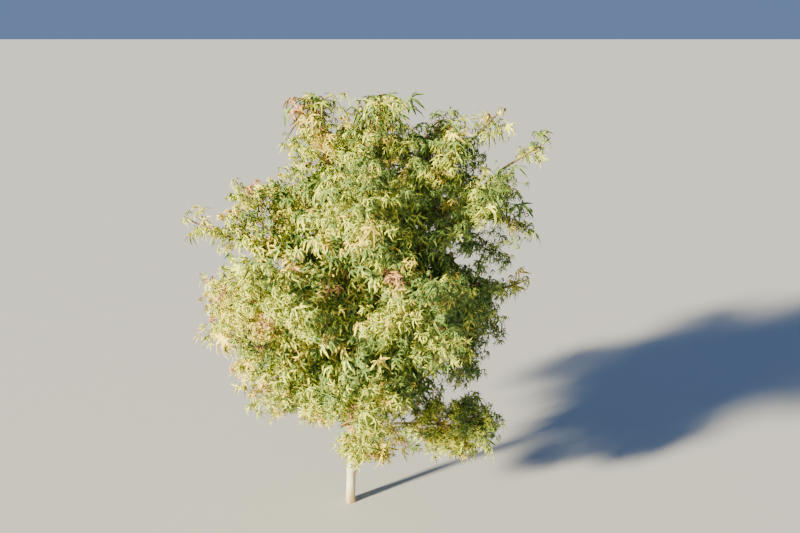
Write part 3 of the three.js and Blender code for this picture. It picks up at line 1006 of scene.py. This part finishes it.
class Foliage:
    """One mass of foliage, grown by the solids' rule and carried on to finer twigs and leaves."""

    # The leaves along a shoot: the distance between pairs and where and how they leave it
    leaf_spacing = 0.014
    fill_spacing = 0.045
    young_spacing = 0.024
    skirt_spacing = 0.6
    leaf_first = 0.24
    leaf_last = 0.92
    leaves_to = 0.9
    leaf_spread = math.radians(62)
    leaf_turn_wobble = 0.4
    leaf_wobble = 0.3
    tip_turns = (0.0, 0.8, -0.8)
    flatness = 0.5

    # Where leaves are left out or change their kind, by how far out they are, 1 at the crown's rim
    thin_below = 0.2
    inner_below = 0.7
    inner_share = 0.3
    rim_from = 0.86
    shoot_share = 0.3
    young_from = 0.5

    # How far leaves at the tips hang past the space of a mass, as a share of its half-width
    overhang = 0.6
    young_overhang = 1.2
    body_limits = (0.88, 1.08)

    # How far a leaf's midrib sags, how much its direction varies, and where it is tested for room
    sag = (0.2, 1.1)
    tip_sag = (0.0, 0.5)
    midrib_wobble = 0.35
    face_wobble = 1.1
    tested_at = 0.65

    stalk_shares = (0.3, 0.5)
    stalk_lift = 0.4
    face_up = 0.7
    face_out = 0.6
    leaf_clear = 0.004

    # How far twigs reach and how much they vary
    leader_room = 0.92
    young_leader_room = 0.7
    leader_lift = 0.15
    leader_shortest = 0.03
    twig_last = 0.97
    twig_shortest = 0.02
    twig_lengths = (0.78, 1.0)
    longest_at_foot = 1.15
    longest_fall = 0.45
    turn_wobble = 0.35
    twig_wobble = 0.18

    # How likely each tint is: its weight, and what it gains towards the right and towards the inside.
    # The gains are painted light and shade: the paler tints go to the sunlit left and the outside, deep
    # green goes to the shaded right side and inside, where it is also the colour of leaves grown in shade.
    tint_shares = (
        (0.16, -0.45, -0.6), (0.47, -0.2, -0.3), (0.27, 0.7, 0.7), (0.1, -0.12, 0.0), (0.02, -0.02, 0.0),
    )
    least_weight = 0.01
    # The tips' paler tints are partly the young leaves' own colour and partly painted light.
    tip_weights = (0.4, 0.38, 0.06, 0.15, 0.01)

    def __init__(self, mass: Mass, skeleton: Skeleton, envelope: Envelope) -> None:
        """Takes the mass to grow, the limbs to keep clear of and the crown that its bough's twigs fill."""
        self.mass = mass
        self.skeleton = skeleton
        self.space = Space(mass)
        self.envelope = envelope
        self.random = Seeded(SEED + 97 * MASSES.index(mass))
        self.side = square_to(np.array([-mass.axis[1], mass.axis[0], 0.01]), mass.axis)
        self.lift = np.cross(mass.axis, self.side)
        self.shoots: list[Shoot] = []
        self.leaves = Leaves()

    def grow(self) -> None:
        """Grows the stem, two orders of twigs, and the leaves."""
        stem = self.stem()
        leader = self.leader(stem)
        if self.mass.slender:
            leafy = [leader, *self.side_twigs(stem, SPUR, 1, self.space)]
        else:
            twigs = [leader, *self.side_twigs(stem, TWIG, 1, self.space)]
            twiglets = [each for twig in twigs for each in self.side_twigs(twig, TWIGLET, 2, self.space)]
            rule = TOP_SHOOT if self.mass.upright else RIM_SHOOT
            leafy = [*twigs, *twiglets, *self.side_twigs(stem, rule, 1, self.space), *self.fillers()]
        self.shoots = [stem, *leafy]
        for shoot in leafy:
            shoot.tint = self.tint_of(shoot)
            self.leaf_shoot(shoot)

    def fillers(self) -> list[Shoot]:
        """Grows the twigs and twiglets that leave the bough and fill the crown between the masses."""
        bough = Shoot(self.skeleton.limbs[self.mass.name].path, 0, 0, 0, self.side)
        twigs = self.side_twigs(bough, FILL_TWIG, 1, self.envelope)
        twiglets = [each for twig in twigs for each in self.side_twigs(twig, TWIGLET, 2, self.envelope)]
        for shoot in (*twigs, *twiglets):
            shoot.fill = True
        return [*twigs, *twiglets]

    def stem(self) -> Shoot:
        """Returns the stem through the mass, as the solids have it."""
        axis = self.mass.axis
        length = Stem.reach * self.mass.long
        sway = self.random.wobble(Stem.sway) * length
        start = self.mass.foot + axis * TOUCH
        end = start + axis * length + self.side * sway
        return Shoot(bezier(start, start + axis * length / 2, end), Stem.foot, Stem.tip, 0, self.side)

    def leader(self, stem: Shoot) -> Shoot:
        """Returns the twig that carries the stem on to the edge of its space."""
        start = stem.path.at(1.0)
        along = unit(stem.path.heading(1.0) + UP * self.leader_lift)
        upright = self.mass.upright
        share = self.young_leader_room if self.mass.slender or upright else self.leader_room
        room = self.space.room(start, along, RIM_SHOOT.limit if upright else 1.0)
        length = max(room * share, self.leader_shortest)
        end = start + along * length
        return Shoot(bezier(start, (start + end) / 2, end), Stem.tip, TWIG.tip, 1, self.side, upright)

    def side_twigs(self, parent: Shoot, rule: TwigRule, order: int, region: Region) -> list[Shoot]:
        """Grows opposite pairs of twigs along a shoot, each pair a quarter turn from the last.

        Args:
            parent: The shoot that they leave.
            rule: The rule of their order.
            order: Their order.
            region: The region that they keep to.

        Returns:
            The twigs that stay inside the region and clear of every limb.
        """
        grown = []
        count = int(parent.path.length * (self.twig_last - rule.first) / rule.spacing) + 1
        for pair in range(count):
            share = min(rule.first + pair * rule.spacing / parent.path.length, self.twig_last)
            root = parent.path.at(share)
            ahead = parent.path.heading(share)
            lift = np.cross(ahead, parent.across) * (self.flatness if order == 2 else 1.0)
            quarter = (pair % 2) * math.pi / 2 + self.random.wobble(self.turn_wobble)
            for turn in (quarter, quarter + math.pi):
                towards = parent.across * math.cos(turn) + lift * math.sin(turn)
                way = swung(ahead, towards, rule.angle + self.random.wobble(self.twig_wobble))
                room = region.room(root, way, rule.limit) * rule.room
                longest = rule.longest * (self.longest_at_foot - self.longest_fall * share)
                length = min(room, longest) * self.random.between(*self.twig_lengths)
                if length < self.twig_shortest:
                    continue
                middle = root + way * length * 0.5 + UP * rule.lift * length
                end = root + way * length - UP * rule.sag * length
                path = bezier(root, middle, end, count=12)
                if not region.holds(path.points[-1:], rule.limit).all():
                    continue
                if not self.skeleton.clear(path.points[3:], rule.foot).all():
                    continue
                side = square_to(np.cross(UP, way) + UP * 0.01, way)
                grown.append(Shoot(path, rule.foot, rule.tip, order, side, rule.young))
        return grown

    def tint_of(self, shoot: Shoot) -> int:
        """Returns the tint of a twig's spray: paler on the left and low down as painted light, paler at tips
        partly as painted light, greener on the right as painted shade, and greener inside as painted shade
        and the colour of shade leaves.
        """
        place = (shoot.path.at(0.7) - CROWN_HEART) / CROWN_RADII
        depth = 1 - min(float(np.linalg.norm(place)), 1.0)
        # The lowest twigs count as further left, so that they are as pale: painted light on the foot of the
        # crown, which the masses above shade.
        right = float(place[0]) - 2 * max(-float(place[2]) - 0.4, 0.0)
        # Tips take paler tints, partly painted light.
        if self.mass.slender:
            return self.random.pick(self.tip_weights)
        # Painted light on the sunlit left and outside, painted shade on the shaded right and inside.
        weights = [base + side * right + inside * depth for base, side, inside in self.tint_shares]
        return self.random.pick([max(weight, self.least_weight) for weight in weights])

    def leaf_shoot(self, shoot: Shoot) -> None:
        """Hangs leaves on a shoot: opposite pairs along it and a group of three at its tip."""
        length = shoot.path.length
        spacing = self.young_spacing if shoot.young else self.leaf_spacing
        spacing *= self.skirt_spacing if self.mass.skirt else 1.0
        spacing = self.fill_spacing if shoot.fill else spacing
        count = int(length * (self.leaves_to - self.leaf_first) / spacing) + 1
        for pair in range(count):
            share = self.leaf_first + pair * spacing / length
            if share > self.leaf_last:
                break
            ahead = shoot.path.heading(share)
            lift = np.cross(ahead, shoot.across) * self.flatness
            quarter = (pair % 2) * math.pi / 2 + self.random.wobble(self.leaf_turn_wobble)
            for turn in (quarter, quarter + math.pi):
                towards = shoot.across * math.cos(turn) + lift * math.sin(turn)
                aim = swung(ahead, towards, self.leaf_spread + self.random.wobble(self.leaf_wobble))
                self.hang(shoot, share, aim, shoot.young and share > self.young_from)
        ahead = shoot.path.heading(1.0)
        for turn in self.tip_turns[:1] if shoot.fill else self.tip_turns:
            aim = swung(ahead, shoot.across * (1 if turn >= 0 else -1), abs(turn) + 0.01)
            self.hang(shoot, 1.0, aim, shoot.order == 1)

    def kind_at(self, depth: float, height: float, leads: bool) -> LeafKind:
        """Picks the kind of a leaf: long and hooked on the shoots at the crown's rim, plain inside.

        Args:
            depth: How far out the leaf is, 1 at the crown's rim.
            height: How high it is, from -1 at the foot of the crown to 1 at its top.
            leads: True at the tip of a twig.

        Returns:
            The kind.
        """
        if self.mass.slender:
            return LeafKind.SHOOT if leads else LeafKind.TIP
        if depth < self.inner_below:
            return LeafKind.INNER
        if not leads:
            return LeafKind.OUTER
        share = self.shoot_share * (1 + abs(height))
        return LeafKind.SHOOT if depth > self.rim_from and self.random.share() < share else LeafKind.TIP

    def hang(self, shoot: Shoot, share: float, aim: np.ndarray, leads: bool) -> None:
        """Hangs one leaf.

        Args:
            shoot: The shoot that bears it.
            share: The share of the shoot's length at which its stalk leaves.
            aim: The direction in which it points away.
            leads: True at the tip of a twig.
        """
        node = shoot.path.at(share)
        random = self.random
        place = (node - CROWN_HEART) / CROWN_RADII
        depth = float(np.linalg.norm(place))
        slender = self.mass.slender
        sparse = depth < self.inner_below and random.share() > self.inner_share
        if depth < self.thin_below or (sparse and not shoot.fill):
            return
        kind = self.kind_at(depth, float(place[2]), leads)
        shapes, reaches = kind.value
        reach = random.between(*reaches)
        stalk = reach * random.between(*self.stalk_shares)
        root = node + unit(aim + UP * self.stalk_lift) * stalk
        drawn = [random.wobble(1.0) for _ in range(3)]
        sag = random.between(*(self.tip_sag if slender and leads else self.sag))
        midrib = unit(aim - UP * sag + np.array(drawn) * self.midrib_wobble)
        outward = unit(root - CROWN_HEART)
        facing = UP * self.face_up + outward * self.face_out
        face = square_to(facing + np.array(drawn[::-1]) * self.face_wobble, midrib)
        leaves = self.leaves
        leaves.node.append(node)
        leaves.root.append(root)
        leaves.frame.append(np.array([midrib, np.cross(face, midrib), face]))
        leaves.reach.append(reach)
        overhang = self.young_overhang if shoot.young or slender else self.overhang
        free = leads or shoot.young
        leaves.limit.append(1 + overhang * self.mass.wide if free else random.between(*self.body_limits))
        leaves.fill.append(shoot.fill)
        leaves.shape.append(LEAF_SHAPES.index(shapes[random.pick([1] * len(shapes))]))
        leaves.tint.append(shoot.tint)

    def kept(self) -> np.ndarray:
        """Returns the numbers of the leaves that stay inside their region and clear of every limb."""
        leaves = self.leaves
        roots = np.array(leaves.root)
        tips = roots + np.array(leaves.frame)[:, 0] * np.array(leaves.reach)[:, None] * self.tested_at
        limits = np.array(leaves.limit)
        own = self.space.holds(roots, limits) & self.space.holds(tips, limits)
        shared = self.envelope.holds(roots, limits) & self.envelope.holds(tips, limits)
        inside = np.where(leaves.fill, shared, own)
        clear = self.skeleton.clear(roots, self.leaf_clear)
        return np.nonzero(inside & clear)[0]


class Canopy:
    """All masses of foliage, joined kind by kind.

    Attributes:
        droop: How far a leaf's tip hangs below its midrib's line, as a share of the leaf's reach.
        stalk_least: The radius of the stalk of a leaf of no size.
        stalk_share: How much a stalk's radius grows with its leaf's reach.
        tubes: The sides and rows of the tube for a shoot of each order.
    """

    droop = 0.2
    stalk_least = 0.0004
    stalk_share = 0.006
    tubes = ((6, 9), (4, 5), (3, 3))

    def __init__(self, skeleton: Skeleton) -> None:
        """Grows every mass."""
        envelope = Envelope()
        self.masses = {mass.name: Foliage(mass, skeleton, envelope) for mass in MASSES}
        for foliage in self.masses.values():
            foliage.grow()
        self.shapes = [shape.build() for shape in LEAF_SHAPES]
        self.tints = list(LeafTint)

    def build(self) -> list[bpy.types.Object]:
        """Builds and returns the leaves of each side, the stalks and the twigs."""
        pieces = [self.leaf_piece(side) for side in Side]
        return [*pieces, self.stalk_piece(), self.twig_piece()]

    def leaf_piece(self, side: Side) -> bpy.types.Object:
        """Joins the leaves of one side in one piece, which replaces its masses, and returns it."""
        batch = Batch()
        total = 0
        for name in side.value:
            foliage = self.masses[name]
            leaves = foliage.leaves
            kept = foliage.kept()
            total += len(kept)
            shapes = np.array(leaves.shape)[kept]
            tints = np.array(leaves.tint)[kept]
            reaches = np.array(leaves.reach)[kept]
            frames = np.array(leaves.frame)[kept] * reaches[:, None, None]
            roots = np.array(leaves.root)[kept]
            for number, leaf in enumerate(self.shapes):
                chosen = shapes == number
                if not chosen.any():
                    continue
                points = leaf.points @ frames[chosen]
                points[..., 2] -= self.droop * (points**2).sum(axis=-1) / reaches[chosen][:, None]
                points += roots[chosen][:, None, :]
                steps = np.arange(len(points))[:, None, None] * len(leaf.points)
                triangles = (leaf.triangles[None] + steps).reshape(-1, 3)
                slots = (tints[chosen][:, None] * 2 + leaf.margin[None]).ravel()
                batch.add(points.reshape(-1, 3), triangles, slots)
        log.info("%s leaves: %d", side.name, total)
        finishes = [finish for tint in self.tints for finish in tint.finishes()]
        piece = batch.build(f"leaves_{side.name.lower()}", finishes)
        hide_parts(*[f"foliage_{name}" for name in side.value])
        return piece

    def stalk_piece(self) -> bpy.types.Object:
        """Joins the stalks of all leaves in one piece and returns it."""
        batch = Batch()
        for foliage in self.masses.values():
            for number in foliage.kept():
                node = foliage.leaves.node[number]
                root = foliage.leaves.root[number]
                radius = self.stalk_least + self.stalk_share * foliage.leaves.reach[number]
                points, triangles = spike(node, root, radius)
                batch.add(points, triangles, np.zeros(len(triangles), int))
        piece = batch.build("leaf_stalks", [YOUNG_STALK])
        return piece

    def twig_piece(self) -> bpy.types.Object:
        """Joins the stems and twigs of all masses in one piece and returns it."""
        batch = Batch()
        for foliage in self.masses.values():
            for shoot in foliage.shoots:
                sides, rows = self.tubes[shoot.order]
                shares = np.linspace(0, 1, rows)
                radii = shoot.foot + (shoot.tip - shoot.foot) * shares
                points, triangles = tube(shoot.path.at(shares), radii, sides)
                batch.add(points, triangles, np.full(len(triangles), int(shoot.young)))
        piece = batch.build("twigs", [YOUNG_TWIG, YOUNG_SHOOT])
        return piece


# Bark

@dataclass
class LimbSkin:
    """The skin of a limb, drawn along its middle line and given the relief of its bark."""

    limb: Limb
    rows: int
    round_steps: int
    relief: float
    grain: float
    collar: float = 0.0

    collar_reach = 0.022
    stretch = 4.0

    def build(self, name: str) -> bpy.types.Object:
        """Draws the limb as a beveled curve, turns it to a mesh, raises its relief and returns it."""
        bpy.ops.object.select_all(action="DESELECT")
        bpy.ops.curve.primitive_bezier_curve_add()
        piece = bpy.context.object
        piece.name = name
        curve = piece.data
        curve.dimensions = "3D"
        curve.bevel_depth = 1.0
        curve.bevel_resolution = self.round_steps
        curve.resolution_u = 6
        curve.use_fill_caps = True
        spline = curve.splines[0]
        spline.bezier_points.add(self.rows - 2)
        shares = np.linspace(0, 1, self.rows)
        for share, point in zip(shares, spline.bezier_points):
            place = self.limb.path.at(share)
            handle = self.limb.path.heading(share) * self.limb.path.length / (self.rows - 1) / 3
            point.handle_left_type = point.handle_right_type = "FREE"
            point.co = place
            point.handle_left = place - handle
            point.handle_right = place + handle
            swell = self.collar * math.exp(-share * self.limb.path.length / self.collar_reach)
            point.radius = float(self.limb.radius(share)) * (1 + swell)
        piece.location = (0, 0, 0)
        bpy.ops.object.convert(target="MESH")
        piece = bpy.context.object
        self.raise_relief(piece)
        bpy.ops.object.shade_smooth()
        return piece

    def raise_relief(self, piece: bpy.types.Object) -> None:
        """Raises long low ridges on the skin with a cloud texture stretched along the height."""
        texture = bpy.data.textures.new("bark_relief", "CLOUDS")
        texture.noise_scale = self.grain
        texture.noise_depth = 2
        bpy.ops.object.empty_add(location=(0, 0, 0))
        stretch = bpy.context.object
        stretch.scale = (1.0, 1.0, self.stretch)
        bpy.context.view_layer.update()
        bpy.ops.object.select_all(action="DESELECT")
        piece.select_set(True)
        bpy.context.view_layer.objects.active = piece
        bpy.ops.object.modifier_add(type="DISPLACE")
        displace = piece.modifiers[-1]
        displace.texture = texture
        displace.texture_coords = "OBJECT"
        displace.texture_coords_object = stretch
        displace.strength = self.relief
        displace.mid_level = 0.5
        bpy.ops.object.modifier_apply(modifier=displace.name)
        bpy.data.objects.remove(stretch)


class Bark:
    """The trunk and the boughs."""

    flare_lobes = 0.08
    flare_reach = 0.03
    foot_flat = 0.0012
    row_step = 0.05
    collar = 0.45

    def __init__(self, skeleton: Skeleton) -> None:
        """Takes the limbs to dress."""
        self.skeleton = skeleton

    def trunk(self) -> bpy.types.Object:
        """Builds and returns the trunk, its foot flat on the ground and its flare drawn out in lobes."""
        skin = LimbSkin(self.skeleton.trunk, rows=26, round_steps=22, relief=0.0022, grain=0.011)
        piece = skin.build("trunk_skin")
        for vertex in piece.data.vertices:
            place = vertex.co
            turn = math.atan2(place.y, place.x)
            lobe = math.cos(3 * turn + 0.6) * 0.7 + math.cos(5 * turn + 2.0) * 0.4
            swell = 1 + self.flare_lobes * lobe * math.exp(-max(place.z, 0) / self.flare_reach)
            place.x *= swell
            place.y *= swell
            place.z = 0.0 if place.z < self.foot_flat else place.z
        piece.data.materials.append(TRUNK_BARK.make())
        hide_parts("trunk")
        return piece

    def boughs(self) -> bpy.types.Object:
        """Builds the boughs, each with a collar where it leaves its parent, and returns them joined."""
        drawn = []
        for mass in MASSES:
            limb = self.skeleton.limbs[mass.name]
            rows = max(int(limb.path.length / self.row_step), 5)
            collar = 0.0 if mass.at == 1 else self.collar
            skin = LimbSkin(limb, rows, round_steps=5, relief=0.0012, grain=0.009, collar=collar)
            drawn.append(skin.build(f"bough_skin_{mass.name}"))
        bpy.ops.object.select_all(action="DESELECT")
        for each in drawn:
            each.select_set(True)
        bpy.context.view_layer.objects.active = drawn[0]
        bpy.ops.object.join()
        piece = drawn[0]
        piece.name = "bough_skins"
        piece.data.materials.append(BOUGH_BARK.make())
        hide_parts(*[f"bough_{mass.name}" for mass in MASSES])
        return piece


# Studio

@dataclass
class Studio:
    """The pale floor, the low sun, the sky's even light and the camera."""

    sun_way: tuple[float, float, float] = (0.77, 0.54, -0.34)
    sun_angle: float = 5.0
    sun_strength: float = 18.0
    sun_colour: str = "#FFF2CE"
    sky_strength: float = 0.44
    sky_colour: str = "#9ABCF6"
    eye: tuple[float, float, float] = (0.175, -2.5, 1.6)
    pitch: float = 73.7
    lens: float = 36.0
    sensor: float = 36.0
    floor_colour: str = "#BCBDBD"
    floor_size: float = 400.0

    def build(self) -> None:
        """Builds the studio."""
        self.add_camera()
        self.add_floor()
        self.add_sun()
        world = bpy.data.worlds.new("studio_air")
        world.use_nodes = True
        air = world.node_tree.nodes["Background"]
        air.inputs["Color"].default_value = linear(self.sky_colour)
        air.inputs["Strength"].default_value = self.sky_strength
        bpy.context.scene.world = world

    def add_camera(self) -> None:
        """Sets up the camera at the height of an eye."""
        bpy.ops.object.camera_add(location=self.eye, rotation=(math.radians(self.pitch), 0, 0))
        camera = bpy.context.object
        camera.data.lens = self.lens
        camera.data.sensor_width = self.sensor
        bpy.context.scene.camera = camera

    def add_floor(self) -> None:
        """Lays the floor at ground level."""
        bpy.ops.mesh.primitive_plane_add(size=self.floor_size, location=(0, 0, 0))
        floor = bpy.context.object
        floor.name = "floor"
        floor.data.materials.append(PlainFinish("floor_paint", self.floor_colour, 0.9).make())

    def add_sun(self) -> None:
        """Adds the low, soft-edged key light."""
        bpy.ops.object.light_add(type="SUN", location=(-3, -2, 3))
        lamp = bpy.context.object
        lamp.name = "key"
        lamp.data.energy = self.sun_strength
        lamp.data.angle = math.radians(self.sun_angle)
        lamp.data.color = linear(self.sun_colour)[:3]
        lamp.rotation_euler = Vector(self.sun_way).to_track_quat("-Z", "Y").to_euler()


def main() -> None:
    """Builds the tree and the studio."""
    logging.basicConfig(level=logging.INFO, format="%(message)s")
    skeleton = Skeleton()
    bark = Bark(skeleton)
    pieces = [bark.trunk(), bark.boughs(), *Canopy(skeleton).build()]
    for piece in pieces:
        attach(piece, "root")
        log.info("built %s", piece.name)
    Studio().build()


if __name__ == "__main__":
    main()
